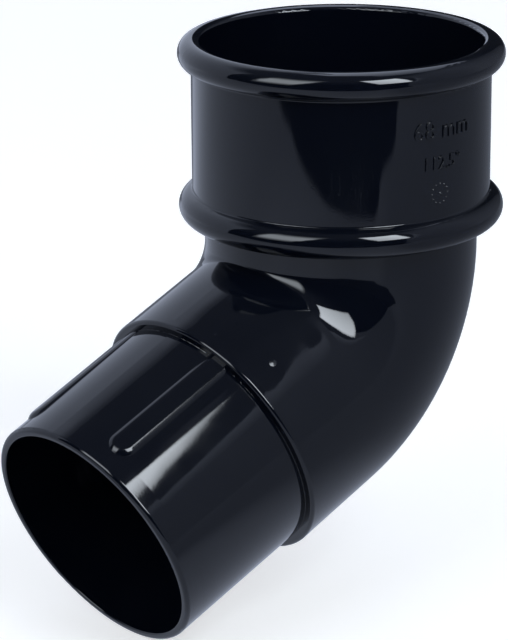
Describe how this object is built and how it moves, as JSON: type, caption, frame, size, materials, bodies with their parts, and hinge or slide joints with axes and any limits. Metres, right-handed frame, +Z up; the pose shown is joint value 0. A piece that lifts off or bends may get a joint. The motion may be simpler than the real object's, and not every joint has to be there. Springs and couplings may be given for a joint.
{
  "type": "downpipe offset bend",
  "caption": "Moulded offset bend for a round rainwater downpipe: a beaded socket above, a tight elbow, and a ribbed spigot below that slides into the next pipe.",
  "frame": {"origin": "centre of the pipe stop, at the bottom of the socket's bore", "axes": "+Z up the socket's axis to its mouth, the spigot points towards -X and 22.5 degrees below the horizontal, and y = 0 is the mirror plane"},
  "size_m": [0.1323, 0.079, 0.1344],
  "materials": {
    "black_upvc": "gloss black moulded uPVC, smooth and slightly scuffed"
  },
  "bodies": {
    "root": {"offset_bend": "black_upvc"}
  },
  "joints": []
}
